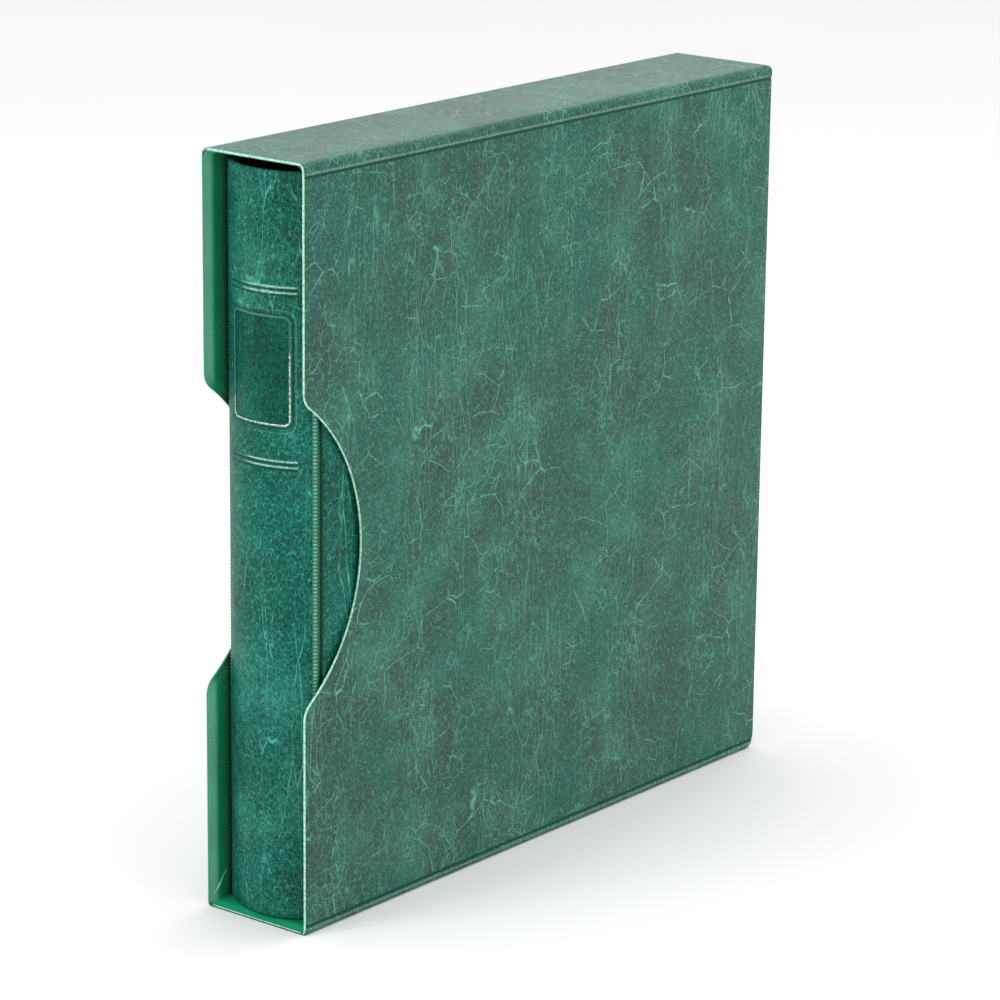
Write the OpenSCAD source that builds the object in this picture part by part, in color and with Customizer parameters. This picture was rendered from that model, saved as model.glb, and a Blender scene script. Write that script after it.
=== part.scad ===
// Stamp album with its slipcase.
// A ring binder with a rounded spine stands in a close-fitting case that is open at the front.
// Millimetres. X is the thickness, the open mouth of the case faces -Y, and Z is up from the base.
// The album slides out along -Y. Two levers inside it spread the rings.

/* [Album] */
// Height of the album covers
album_height = 317; // [200:1:400]
// Depth of the album from the front of the spine to the fore-edge
album_depth = 315; // [200:1:400]
// Thickness of the closed album over its covers
album_thickness = 50; // [44:1:80]
// Radius of the rounded spine
spine_radius = 33; // [28:0.5:60]
// Width of the spine panel that carries the mechanism, between its two hinges
spine_chord = 48; // [38:1:70]
// Depth of each hinge groove between the spine and a cover board
hinge_gap = 2.6; // [2:0.1:6]
// Radius of the cover corners at the fore-edge
cover_corner_radius = 8; // [5:0.5:15]

/* [Cover layers] */
// Thickness of the leatherette on the album and the case
skin_thickness = 0.4; // [0.3:0.05:0.8]
// Thickness of the greyboard in the covers and the spine
cover_board_thickness = 1.8; // [1:0.1:3]
// Thickness of the smooth inner lining
lining_thickness = 0.3; // [0.2:0.05:0.6]

/* [Slipcase] */
// Thickness of the greyboard in the case walls
case_board_thickness = 1.6; // [1:0.1:3]
// Clearance between the album and each side wall
side_clearance = 0.2; // [0.15:0.05:2]
// Clearance between the album and the floor lining
floor_clearance = 0.3; // [0.2:0.05:2]
// Headroom between the album and the ceiling lining
headroom = 3.1; // [1:0.1:8]
// Gap behind the fore-edge when the album is pushed home
back_gap = 0.7; // [0.5:0.1:5]
// Distance from the mouth back to the front of the spine
spine_setback = 2; // [1:0.5:15]
// Depth of the welded lip round the mouth and the thumb cuts, in front of the boards
lip_width = 1.2; // [0.8:0.1:3]
// Thickness of the welded lip
lip_thickness = 1.1; // [0.8:0.1:1.6]
// Depth over which the boards are pared down to half their thickness behind the lip
paring_depth = 3.5; // [2:0.5:8]
// Radius of the two long edges at the top of the case
top_edge_radius = 3; // [3:0.5:8]
// Radius of the two long edges at the base of the case
base_edge_radius = 1.5; // [0.5:0.5:3]
// Radius of the rear corner at the base, seen from the side
rear_base_radius = 7; // [4:0.5:9]
// Radius of the rear corner at the top, seen from the side
rear_top_radius = 4; // [3:0.5:9]
// Radius of the two upright rear edges
rear_edge_radius = 1.5; // [0.5:0.5:3]
// Height of the welded seam above the base
base_seam_height = 3.5; // [3:0.5:10]
// Depth of the welded seam below the top
top_seam_depth = 5.5; // [5:0.5:12]

/* [Thumb cuts] */
// Radius of the thumb cut in each side wall
thumb_radius = 77; // [50:1:100]
// Distance of the centre of the thumb cut in front of the mouth
thumb_centre_out = 42; // [20:1:60]
// Radius that blends the thumb cut into the mouth
thumb_blend_radius = 9; // [4:0.5:15]

/* [Spine label] */
// Height of the label field
label_height = 46; // [20:1:80]
// Width of the label field across the spine
label_width = 31; // [15:1:36]
// Height of the middle of the label above the bottom of the album
label_centre_height = 235; // [100:1:280]
// Radius of the label corners
label_corner_radius = 3; // [1:0.5:6]
// Width of the stamped foil line round the label
foil_width = 1; // [0.6:0.1:2]
// Thickness of the label film and the foil
film_thickness = 0.1; // [0.08:0.02:0.3]

/* [Ring mechanism] */
// Number of rings
ring_count = 18; // [4:1:18]
// Distance between neighbouring rings
ring_pitch = 16; // [12:1:60]
// Radius of a closed ring, to the middle of the wire
ring_radius = 15; // [12:0.5:15.5]
// Diameter of the ring wire
wire_diameter = 2.6; // [2:0.1:3.4]
// Height of the ring centre above the blade pivots
ring_centre_rise = 13.5; // [12:0.5:15]
// Distance of each blade pivot from the middle plane
blade_pivot_offset = 13.5; // [12:0.5:14]
// Thickness of a blade
blade_thickness = 1; // [0.8:0.1:1.4]
// Slope of a blade towards the middle when the rings are shut, in degrees
blade_slope = 5; // [4:0.5:6]
// Thickness of the steel cover of the mechanism
housing_thickness = 1; // [0.8:0.1:1.4]
// Height of the crown of the steel cover above the blade pivots
housing_crown = 5.5; // [5:0.5:7]
// Distance of each rivet from the middle of the mechanism
rivet_offset = 128; // [100:16:128]
// Radius of a rivet shank
rivet_radius = 2.2; // [1.5:0.1:2.5]
// Radius of a lever pivot pin
lever_pin_radius = 0.9; // [0.7:0.1:1.2]
// Radial clearance between a lever and its pin
pin_clearance = 0.05; // [0.02:0.01:0.1]
// Height of the finger tab of a lever above its pivot
lever_tab_height = 12; // [8:1:14]

/* [Leaves] */
// Number of album leaves on the rings
leaf_count = 12; // [1:1:12]
// Width of a leaf from the punched edge to the fore-edge
leaf_width = 272; // [150:1:300]
// Height of a leaf
leaf_height = 296; // [200:1:310]
// Thickness of a leaf
leaf_thickness = 0.45; // [0.2:0.05:0.5]
// Spacing of the leaves
leaf_pitch = 1; // [0.9:0.05:1]
// Radius of the punched holes
leaf_hole_radius = 3.2; // [3:0.1:3.6]
// Distance from the punched edge to the middle of the holes
leaf_hole_inset = 5; // [4.5:0.5:8]
// Thickness of the clear mount strips on each leaf
mount_thickness = 0.25; // [0.1:0.05:0.3]
// Number of mount strips down a leaf
mount_rows = 5; // [1:1:8]
// Height of a mount strip
mount_height = 44; // [20:1:60]

/* [Hidden] */
$fn = 96;
e = 0.01;
far = 1000;

// Walls and outer sizes of the case, worked out from the album that it holds
case_wall = skin_thickness + case_board_thickness + lining_thickness;
case_width = album_thickness + 2 * side_clearance + 2 * case_wall;
case_height = album_height + floor_clearance + headroom + 2 * case_wall;
case_depth = album_depth + spine_setback + back_gap + case_wall;
mouth_y = -case_depth / 2;
back_y = case_depth / 2;
lining_depth = skin_thickness + case_board_thickness;

// Album datums
cover_thickness = skin_thickness + cover_board_thickness + lining_thickness;
album_half = album_thickness / 2;
inner_half = album_half - cover_thickness;
album_base = case_wall + floor_clearance;
album_middle = album_base + album_height / 2;
spine_front = mouth_y + spine_setback;
fore_edge = spine_front + album_depth;
spine_centre_y = spine_front + spine_radius;
spine_angle = asin(spine_chord / 2 / spine_radius);
spine_inner_radius = spine_radius - cover_thickness;
spine_edge_y = spine_centre_y - spine_radius * cos(spine_angle);
cover_start = spine_edge_y + hinge_gap;
label_base = album_base + label_centre_height - label_height / 2;

// Mechanism datums: the side rails of the steel cover rest on the spine lining
rail_outer = blade_pivot_offset + 1.7;
rail_thickness = 0.9;
rail_drop = 1.6;
pivot_y = spine_centre_y - sqrt(pow(spine_inner_radius, 2) - pow(rail_outer, 2)) + rail_drop;
ring_centre_y = pivot_y + ring_centre_rise;
ring_span = (ring_count - 1) * ring_pitch;
wire_radius = wire_diameter / 2;
ring_tip_gap = 0.12;
blade_overhang = 3.5;
blade_half_length = ring_span / 2 + blade_overhang;
blade_meeting_gap = 0.15;
blade_arm = blade_pivot_offset - blade_meeting_gap;
blade_end_gap = 5.5;
lever_pivot_z = blade_half_length + blade_end_gap;
lever_pivot_rise = 1;
housing_rise = housing_crown - 1.2;
housing_radius = (pow(rail_outer, 2) + pow(housing_rise, 2)) / (2 * housing_rise);
housing_centre_y = pivot_y + housing_crown - housing_radius;
crown_half_length = lever_pivot_z - 1;
rail_half_length = lever_pivot_z + 4;
ring_slot_width = wire_diameter + 1;
lever_width = 10;
lever_hub_radius = 1.9;
tab_thickness = 1.2;
tab_angle = -67;
toe_width = 4;
toe_radius = 0.6;
toe_bar_thickness = 0.96;
toe_clearance = 0.33;
toe_reach = 8.4;
rivet_foot_radius = 4.5;
rivet_foot_thickness = 0.6;

// Leaf datums: the holes are centred on the path of the ring tips
leaf_hole_y = ring_centre_y + ring_radius + 0.5;
leaf_edge_y = leaf_hole_y - leaf_hole_inset;

// ---------------------------------------------------------------- outlines

// Rectangle from the origin with its own radius at each corner, counted from the origin anticlockwise
module rounded_rectangle(w, h, radii) {
    corners = [[0, 0], [w, 0], [w, h], [0, h]];
    difference() {
        square([w, h]);
        for (i = [0:3])
            if (radii[i] > 0)
                translate(corners[i])
                    rotate(90 * i)
                        difference() {
                            translate([-e, -e])
                                square(radii[i] + e);
                            translate([radii[i], radii[i]])
                                circle(radii[i]);
                        }
    }
}

// Extrusions of a drawing of the front, the side and the plan view, through everything
module seen_from_front() {
    rotate([90, 0, 0])
        linear_extrude(height = far, center = true)
            children();
}

module seen_from_side() {
    rotate([90, 0, 90])
        linear_extrude(height = far, center = true)
            children();
}

module box_between(low, high) {
    translate(low)
        cube(high - low);
}

// ---------------------------------------------------------------- slipcase

function inset_radius(r, inset) = max(r - inset, 0);

// The outer shape of the case, shrunk by inset, and starting at the depth start_y
module case_envelope(inset, start_y) {
    intersection() {
        seen_from_front()
            translate([inset - case_width / 2, inset])
                rounded_rectangle(case_width - 2 * inset, case_height - 2 * inset,
                    [inset_radius(base_edge_radius, inset), inset_radius(base_edge_radius, inset),
                     inset_radius(top_edge_radius, inset), inset_radius(top_edge_radius, inset)]);
        seen_from_side()
            translate([start_y, inset])
                rounded_rectangle(back_y - inset - start_y, case_height - 2 * inset,
                    [0, inset_radius(rear_base_radius, inset),
                     inset_radius(rear_top_radius, inset), 0]);
        translate([inset - case_width / 2, start_y, 0])
            linear_extrude(height = far)
                rounded_rectangle(case_width - 2 * inset, back_y - inset - start_y,
                    [0, 0, inset_radius(rear_edge_radius, inset),
                     inset_radius(rear_edge_radius, inset)]);
    }
}

// Side view of the thumb cut, grown by margin
module thumb_outline(margin) {
    r = thumb_radius + margin;
    blend = max(thumb_blend_radius - margin, 1);
    blend_y = blend + margin;
    blend_z = sqrt(pow(r + blend, 2) - pow(thumb_centre_out + blend_y, 2));
    share = r / (r + blend);
    touch = [share * (thumb_centre_out + blend_y) - thumb_centre_out, share * blend_z];
    translate([mouth_y, case_height / 2]) {
        translate([-thumb_centre_out, 0])
            circle(r, $fn = 256);
        for (side = [0, 1])
            mirror([0, side])
                difference() {
                    polygon([[-1, touch[1]], touch, [margin, blend_z], [-1, blend_z]]);
                    translate([blend_y, blend_z])
                        circle(blend);
                }
    }
}

module thumb_cut(margin) {
    seen_from_side()
        thumb_outline(margin);
}

// The sheet on the outside, which thickens into a welded lip at the mouth and the thumb cuts
module case_skin_layer() {
    difference() {
        case_envelope(0, mouth_y);
        case_envelope(lip_thickness, mouth_y - 1);
        difference() {
            case_envelope(skin_thickness, mouth_y + lip_width);
            thumb_cut(lip_width);
        }
        thumb_cut(0);
    }
}

// The boards behind the lip, with their inner half pared away next to it
module case_board_layer() {
    difference() {
        case_envelope(skin_thickness, mouth_y + lip_width);
        case_envelope(lining_depth, mouth_y - 1);
        thumb_cut(lip_width);
        intersection() {
            case_envelope(skin_thickness + case_board_thickness / 2, mouth_y - 1);
            union() {
                box_between([-far, -far, -far], [far, mouth_y + paring_depth, far]);
                thumb_cut(paring_depth);
            }
        }
    }
}

// The smooth sheet on the inside, flat where the boards have their full thickness
module case_lining_layer() {
    difference() {
        case_envelope(lining_depth, mouth_y + paring_depth);
        case_envelope(case_wall, mouth_y - 1);
        thumb_cut(paring_depth);
    }
}

// One panel of a layer that reaches the depth "inner" from the outside of the case.
// The floor and the top run right across, and the sides butt between them and run to the back.
module case_panel(panel, inner) {
    half = case_width / 2 - inner;
    roof = case_height - inner;
    rear = back_y - inner;
    intersection() {
        children();
        if (panel == "floor")
            box_between([-far, -far, -1], [far, far, inner]);
        else if (panel == "top")
            box_between([-far, -far, roof], [far, far, far]);
        else if (panel == "left")
            box_between([-far, -far, inner], [-half, far, roof]);
        else if (panel == "right")
            box_between([half, -far, inner], [far, far, roof]);
        else
            box_between([-half, rear, inner], [half, far, roof]);
    }
}

module case_left_board() { color("#9a8f7d") case_panel("left", lining_depth) case_board_layer(); }
module case_right_board() { color("#9a8f7d") case_panel("right", lining_depth) case_board_layer(); }
module case_top_board() { color("#9a8f7d") case_panel("top", lining_depth) case_board_layer(); }
module case_floor_board() { color("#9a8f7d") case_panel("floor", lining_depth) case_board_layer(); }
module case_back_board() { color("#9a8f7d") case_panel("back", lining_depth) case_board_layer(); }

module case_left_lining() { color("#0a7a55") case_panel("left", case_wall) case_lining_layer(); }
module case_right_lining() { color("#0a7a55") case_panel("right", case_wall) case_lining_layer(); }
module case_top_lining() { color("#0a7a55") case_panel("top", case_wall) case_lining_layer(); }
module case_floor_lining() { color("#0a7a55") case_panel("floor", case_wall) case_lining_layer(); }
module case_back_lining() { color("#0a7a55") case_panel("back", case_wall) case_lining_layer(); }

// One sheet round both sides and the back, between the two welded seams
module case_wall_skin() {
    color("#44776a")
        intersection() {
            case_skin_layer();
            box_between([-far, -far, base_seam_height], [far, far, case_height - top_seam_depth]);
        }
}

module case_top_skin() {
    color("#5b8578")
        intersection() {
            case_skin_layer();
            box_between([-far, -far, case_height - top_seam_depth], [far, far, far]);
        }
}

module case_floor_skin() {
    color("#3d6e60")
        intersection() {
            case_skin_layer();
            box_between([-far, -far, -1], [far, far, base_seam_height]);
        }
}

// ---------------------------------------------------------------- album case

// Curved strip of the spine between two radii, with a margin left off each end
module spine_strip(outer, inner, margin) {
    reach = 3 * spine_radius;
    translate([0, spine_centre_y, album_base + margin])
        linear_extrude(height = album_height - 2 * margin)
            intersection() {
                difference() {
                    circle(outer, $fn = 256);
                    circle(inner, $fn = 256);
                }
                polygon([[0, 0], reach * [sin(spine_angle), -cos(spine_angle)],
                    reach * [-sin(spine_angle), -cos(spine_angle)]]);
            }
}

module spine_skin() {
    color("#1d6a58")
        difference() {
            spine_strip(spine_radius, spine_inner_radius, 0);
            spine_strip(spine_radius - skin_thickness, spine_inner_radius - 1, skin_thickness);
        }
}

module spine_board() {
    color("#9a8f7d")
        difference() {
            spine_strip(spine_radius - skin_thickness, spine_inner_radius + lining_thickness,
                skin_thickness);
            rivet_solids();
        }
}

module spine_lining() {
    color("#0a7a55")
        difference() {
            spine_strip(spine_inner_radius + lining_thickness, spine_inner_radius, skin_thickness);
            rivet_solids();
        }
}

// Side view of a cover, with a margin left off all round
module cover_outline(margin) {
    translate([cover_start + margin, album_base + margin])
        rounded_rectangle(fore_edge - cover_start - 2 * margin, album_height - 2 * margin,
            [0, cover_corner_radius - margin, cover_corner_radius - margin, 0]);
}

// Slab of a cover between two distances from the middle plane; side is 1 for the front, -1 for the rear
module cover_slab(side, low, high, margin) {
    intersection() {
        seen_from_side()
            cover_outline(margin);
        box_between([side > 0 ? low : -high, -far, -far], [side > 0 ? high : -low, far, far]);
    }
}

module cover_skin(side) {
    color("#2b6b5b")
        difference() {
            cover_slab(side, inner_half, album_half, 0);
            cover_slab(side, inner_half - 1, album_half - skin_thickness, skin_thickness);
        }
}

module cover_board(side) {
    color("#9a8f7d")
        cover_slab(side, inner_half + lining_thickness, album_half - skin_thickness, skin_thickness);
}

module cover_lining(side) {
    color("#0a7a55")
        cover_slab(side, inner_half, inner_half + lining_thickness, skin_thickness);
}

module front_cover_skin() { cover_skin(1); }
module front_cover_board() { cover_board(1); }
module front_cover_lining() { cover_lining(1); }
module rear_cover_skin() { cover_skin(-1); }
module rear_cover_board() { cover_board(-1); }
module rear_cover_lining() { cover_lining(-1); }

// Welded strip that joins the spine to a cover, where skin and lining meet with no board between
module hinge_strip() {
    outer = spine_radius - skin_thickness;
    inner = spine_inner_radius + skin_thickness + lining_thickness;
    function on_spine(r) = [r * sin(spine_angle), spine_centre_y - r * cos(spine_angle)];
    color("#17604e")
        translate([0, 0, album_base])
            linear_extrude(height = album_height)
                polygon([on_spine(outer), [album_half - skin_thickness, cover_start],
                    [inner_half + lining_thickness + skin_thickness, cover_start], on_spine(inner)]);
}

module front_hinge() { hinge_strip(); }
module rear_hinge() { mirror([1, 0, 0]) hinge_strip(); }

// Front view of the label field, with a margin left off all round
module label_outline(margin) {
    r = label_corner_radius - margin;
    translate([margin - label_width / 2, label_base + margin])
        rounded_rectangle(label_width - 2 * margin, label_height - 2 * margin, [r, r, r, r]);
}

// Thin film on the outside of the spine
module spine_film() {
    intersection() {
        spine_strip(spine_radius + film_thickness, spine_radius, 0);
        seen_from_front()
            children();
    }
}

module label_panel() {
    color("#1f5c4c")
        spine_film()
            label_outline(foil_width);
}

module label_frame() {
    color("#b9d6cc")
        spine_film()
            difference() {
                label_outline(0);
                label_outline(foil_width);
            }
}

// ---------------------------------------------------------------- ring mechanism

// Repeats its children at the two ends of the mechanism
module at_both_ends() {
    translate([0, 0, album_middle])
        for (end = [0, 1])
            mirror([0, 0, end])
                children();
}

// Repeats its children at every ring
module at_each_ring() {
    for (i = [0:ring_count - 1])
        translate([0, 0, album_middle - ring_span / 2 + i * ring_pitch])
            children();
}

// Cylinder along Y from one depth to another
module post(radius, low_y, high_y) {
    translate([0, low_y, 0])
        rotate([-90, 0, 0])
            cylinder(r = radius, h = high_y - low_y);
}

// Rivets from the outside of the spine board to the crown of the steel cover
module rivet_solids() {
    foot_y = spine_centre_y - sqrt(pow(spine_radius - skin_thickness, 2) - pow(rivet_foot_radius, 2))
        + 0.05;
    crown_y = pivot_y + housing_crown;
    at_both_ends()
        translate([0, 0, rivet_offset]) {
            post(rivet_foot_radius, foot_y, foot_y + rivet_foot_thickness);
            post(rivet_radius, foot_y, crown_y + 0.8);
            post(rivet_radius + 1.4, crown_y, crown_y + 0.8);
        }
}

module housing_rivets() {
    color("#d8d8d8")
        rivet_solids();
}

// Plan view of the steel cover: a crown, and a rail down each side
module housing_plan(rails) {
    intersection() {
        translate([0, housing_centre_y])
            difference() {
                circle(housing_radius, $fn = 256);
                circle(housing_radius - housing_thickness, $fn = 256);
            }
        translate([-rail_outer, pivot_y])
            square([2 * rail_outer, 2 * housing_crown]);
    }
    if (rails)
        for (side = [0, 1])
            mirror([side, 0])
                translate([rail_outer - rail_thickness, pivot_y - rail_drop])
                    square([rail_thickness, rail_drop + 1]);
}

module ring_housing() {
    slot_inner = 5.2;
    slot_outer = blade_pivot_offset - 0.9;
    color("#c9ccce")
        difference() {
            translate([0, 0, album_middle]) {
                translate([0, 0, -crown_half_length])
                    linear_extrude(height = 2 * crown_half_length)
                        housing_plan(true);
                for (side = [0, 1])
                    mirror([side, 0, 0])
                        translate([rail_outer - rail_thickness, pivot_y - rail_drop, -rail_half_length])
                            cube([rail_thickness, rail_drop + 2.4, 2 * rail_half_length]);
            }
            at_each_ring()
                for (side = [0, 1])
                    mirror([side, 0, 0])
                        translate([slot_inner, pivot_y + 0.4, -ring_slot_width / 2])
                            cube([slot_outer - slot_inner, 2 * housing_crown, ring_slot_width]);
            at_both_ends()
                translate([0, 0, rivet_offset])
                    post(rivet_radius, pivot_y, pivot_y + 2 * housing_crown);
            lever_pin_solids();
        }
}

module lever_pin_solids() {
    at_both_ends()
        translate([-rail_outer, pivot_y + lever_pivot_rise, lever_pivot_z])
            rotate([0, 90, 0])
                cylinder(r = lever_pin_radius, h = 2 * rail_outer);
}

module lever_pins() {
    color("#d8d8d8")
        lever_pin_solids();
}

// Bar of a lever from inside its hub out to a length, turned from upright by an angle about X
module lever_bar(width, thickness, length, angle) {
    start = (lever_hub_radius + lever_pin_radius + pin_clearance) / 2;
    rotate([angle, 0, 0])
        translate([-width / 2, -thickness / 2, start])
            cube([width, thickness, length - start]);
}

// Lever at the upper end: a finger tab, a hub on its pin, and a cranked toe under the ends of the
// blades
module lever() {
    hub_hole = lever_pin_radius + pin_clearance;
    toe_rise = -blade_arm * sin(blade_slope) - blade_thickness / 2 - toe_clearance - toe_radius;
    toe_y = toe_rise - lever_pivot_rise;
    knee_reach = blade_end_gap - toe_radius;
    knee_length = norm([toe_y, knee_reach]);
    knee_angle = 180 - atan2(-toe_y, knee_reach);
    color("#b4b8ba")
        translate([0, pivot_y + lever_pivot_rise, album_middle + lever_pivot_z])
            difference() {
                union() {
                    translate([-lever_width / 2, 0, 0])
                        rotate([0, 90, 0])
                            cylinder(r = lever_hub_radius, h = lever_width);
                    lever_bar(lever_width, tab_thickness, lever_tab_height, tab_angle);
                    lever_bar(toe_width, toe_bar_thickness, knee_length, knee_angle);
                    box_between([-toe_width / 2, toe_y - toe_bar_thickness / 2, -toe_reach],
                        [toe_width / 2, toe_y + toe_bar_thickness / 2, -knee_reach]);
                    for (reach = [knee_reach, toe_reach])
                        translate([-toe_width / 2, toe_y, -reach])
                            rotate([0, 90, 0])
                                cylinder(r = toe_radius, h = toe_width);
                }
                translate([-far / 2, 0, 0])
                    rotate([0, 90, 0])
                        cylinder(r = hub_hole, h = far);
            }
}

module lever_upper() { lever(); }
module lever_lower() {
    translate([0, 0, 2 * album_middle])
        mirror([0, 0, 1])
            lever();
}

// Everything on the spine side of the top surface of the left blade
module left_blade_frame() {
    translate([-blade_pivot_offset, pivot_y, album_middle])
        rotate([0, 0, -blade_slope])
            children();
}

// Left blade: hinged at its outer edge and notched round the rivets
module left_blade() {
    notch = rivet_radius + 1.3;
    color("#aeb2b5")
        difference() {
            left_blade_frame() {
                translate([0, -blade_thickness / 2, -blade_half_length])
                    cube([blade_arm / cos(blade_slope), blade_thickness, 2 * blade_half_length]);
                translate([0, 0, -blade_half_length])
                    cylinder(r = blade_thickness / 2, h = 2 * blade_half_length);
            }
            at_both_ends()
                translate([0, 0, rivet_offset])
                    post(notch, pivot_y - 10, pivot_y + 10);
        }
}

// Left halves of all the rings, each ending on the blade
module left_rings() {
    color("#d4d7d9")
        difference() {
            at_each_ring()
                translate([0, ring_centre_y, 0])
                    rotate([0, 0, 90])
                        rotate_extrude(angle = 165)
                            translate([ring_radius, 0])
                                circle(wire_radius, $fn = 48);
            left_blade_frame()
                translate([-5, -far, -far / 2])
                    cube([far, far + blade_thickness / 2, far]);
            box_between([-ring_tip_gap / 2, -far, -far], [far, far, far]);
        }
}

module blade_left() { left_blade(); }
module blade_right() { mirror([1, 0, 0]) left_blade(); }
module rings_left() { left_rings(); }
module rings_right() { mirror([1, 0, 0]) left_rings(); }

// ---------------------------------------------------------------- leaves

function leaf_x(i) = (i - (leaf_count - 1) / 2) * leaf_pitch;

// Punched leaf in side view
module leaf_outline() {
    difference() {
        translate([leaf_edge_y, album_middle - leaf_height / 2])
            rounded_rectangle(leaf_width, leaf_height, [1, 3, 3, 1]);
        for (i = [0:ring_count - 1])
            translate([leaf_hole_y, album_middle - ring_span / 2 + i * ring_pitch])
                circle(leaf_hole_radius, $fn = 32);
    }
}

module upright_sheet(low_x, thickness) {
    translate([low_x, 0, 0])
        rotate([90, 0, 90])
            linear_extrude(height = thickness)
                children();
}

module album_leaves() {
    color("#efe9da")
        for (i = [0:leaf_count - 1])
            upright_sheet(leaf_x(i) - leaf_thickness / 2, leaf_thickness)
                leaf_outline();
}

// Clear strips that hold the stamps, on the face of each leaf that looks to the front cover
module stamp_mounts() {
    side_margin = 22;
    row_pitch = leaf_height / mount_rows;
    color("#dfe6e4")
        for (i = [0:leaf_count - 1], row = [0:mount_rows - 1])
            upright_sheet(leaf_x(i) + leaf_thickness / 2, mount_thickness)
                translate([leaf_edge_y + side_margin,
                    album_middle - leaf_height / 2 + (row + 0.5) * row_pitch - mount_height / 2])
                    square([leaf_width - 1.5 * side_margin, mount_height]);
}

case_left_board();
case_right_board();
case_top_board();
case_floor_board();
case_back_board();
case_wall_skin();
case_top_skin();
case_floor_skin();
case_left_lining();
case_right_lining();
case_top_lining();
case_floor_lining();
case_back_lining();
spine_skin();
spine_board();
spine_lining();
front_cover_skin();
front_cover_board();
front_cover_lining();
rear_cover_skin();
rear_cover_board();
rear_cover_lining();
front_hinge();
rear_hinge();
label_panel();
label_frame();
ring_housing();
housing_rivets();
lever_pins();
lever_upper();
lever_lower();
blade_left();
blade_right();
rings_left();
rings_right();
album_leaves();
stamp_mounts();
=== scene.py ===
"""Stamp album in its slipcase: leatherette, linings, welded seams and ring mechanism around the CAD frame.

Lengths in this script are in millimetres and are turned into metres where a mesh is made.
"""
import math

import bpy
import numpy as np
from mathutils import Matrix, Vector, noise


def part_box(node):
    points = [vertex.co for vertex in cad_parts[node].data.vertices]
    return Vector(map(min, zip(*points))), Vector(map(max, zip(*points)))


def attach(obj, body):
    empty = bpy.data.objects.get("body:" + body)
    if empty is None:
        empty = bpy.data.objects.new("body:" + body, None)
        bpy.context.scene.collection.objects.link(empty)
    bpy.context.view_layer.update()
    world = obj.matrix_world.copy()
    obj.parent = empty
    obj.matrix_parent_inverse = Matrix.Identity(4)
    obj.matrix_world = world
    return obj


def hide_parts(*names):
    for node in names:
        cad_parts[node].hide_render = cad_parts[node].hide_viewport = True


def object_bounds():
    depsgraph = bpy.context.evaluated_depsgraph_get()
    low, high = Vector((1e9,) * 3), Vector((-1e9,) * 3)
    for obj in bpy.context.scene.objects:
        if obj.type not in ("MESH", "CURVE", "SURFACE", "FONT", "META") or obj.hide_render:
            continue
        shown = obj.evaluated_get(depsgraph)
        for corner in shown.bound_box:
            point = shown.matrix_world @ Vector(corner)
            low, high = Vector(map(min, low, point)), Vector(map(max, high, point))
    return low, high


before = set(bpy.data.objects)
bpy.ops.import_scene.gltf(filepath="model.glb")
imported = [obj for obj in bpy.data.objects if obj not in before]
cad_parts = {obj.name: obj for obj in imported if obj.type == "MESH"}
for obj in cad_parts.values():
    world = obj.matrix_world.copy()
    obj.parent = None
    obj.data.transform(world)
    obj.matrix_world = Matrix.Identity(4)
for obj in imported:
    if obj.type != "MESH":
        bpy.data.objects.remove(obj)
cad_low, cad_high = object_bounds()

MM = 0.001


# ---------------------------------------------------------------- sizes read from the frame

def box_mm(node):
    """Lowest and highest corner of a CAD node, in millimetres."""
    low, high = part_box(node)
    return np.array(low) / MM, np.array(high) / MM


CASE_LOW, CASE_HIGH = (np.array(corner) / MM for corner in (cad_low, cad_high))
HALF_WIDTH = CASE_HIGH[0]
MOUTH, BACK = CASE_LOW[1], CASE_HIGH[1]
HEIGHT = CASE_HIGH[2]
MIDDLE = HEIGHT / 2
INNER_HALF_WIDTH = box_mm("case_right_lining")[0][0]
INNER_FLOOR = box_mm("case_floor_lining")[1][2]
INNER_ROOF = box_mm("case_top_lining")[0][2]
INNER_BACK = box_mm("case_back_lining")[0][1]
BASE_SEAM = box_mm("case_floor_skin")[1][2]
TOP_SEAM = box_mm("case_top_skin")[0][2]
SPINE_FRONT = box_mm("spine_skin")[0][1]
ALBUM_BASE, ALBUM_TOP = box_mm("spine_skin")[0][2], box_mm("spine_skin")[1][2]
COVER_LOW, COVER_HIGH = box_mm("front_cover_skin")
LABEL_LOW, LABEL_HIGH = box_mm("label_frame")

# Shapes that the CAD boxes do not give. Radii of the case's edges:
TOP_EDGE_R = 3.0
BASE_EDGE_R = 1.5
REAR_BASE_R = 7.0
REAR_EDGE_R = 1.5
# Thickness of the lip at the mouth, and how far behind the mouth its middle and the outer sheet begin
LIP = 1.1
LIP_START = 0.4
# Thumb cut: radius, how far its centre lies in front of the mouth, and the radius that blends it in
THUMB_R, THUMB_OUT, THUMB_BLEND = 77.0, 42.0, 9.0
# Levels between which the side walls need close rows, for the thumb cut
FINE_LOW, FINE_HIGH = 90, 235
# Distances behind the front edge at which the outer sheet has points
FRONT_STEPS = [0.0, 0.12, 0.3, 0.55, 0.9, 1.4, 2.2, 3.4, 5.0, 7.0]
# Spine: radius of its bow, and the angles at which the hinge bead starts and ends
SPINE_R = 33.0
SPINE_CENTRE = SPINE_FRONT + SPINE_R
HINGE_ANGLE = math.radians(42.2)
BEAD_ANGLE = math.radians(46.8)
# Spine embossing: swell of the leather, depth of the label field, and levels of the double lines
SPINE_RISE = 0.12
LABEL_SINK = 0.36
LABEL_HALF = (LABEL_HIGH[0] - LABEL_LOW[0]) / 2
DOUBLE_LINES = (272.4, 270.1, 200.2, 197.9)
GROOVES = (271.25, 268.95, 199.05, 196.75)
LINE_HALF = 17.8
# Covers: radius of the fore-edge corners, of the spine-side corners, and of the rounded edges,
# and how far the leather turns in over the board
COVER_CORNER_R, COVER_SPINE_R, COVER_EDGE_R = 8.0, 1.0, 1.1
TURN_IN = 2.0
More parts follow.
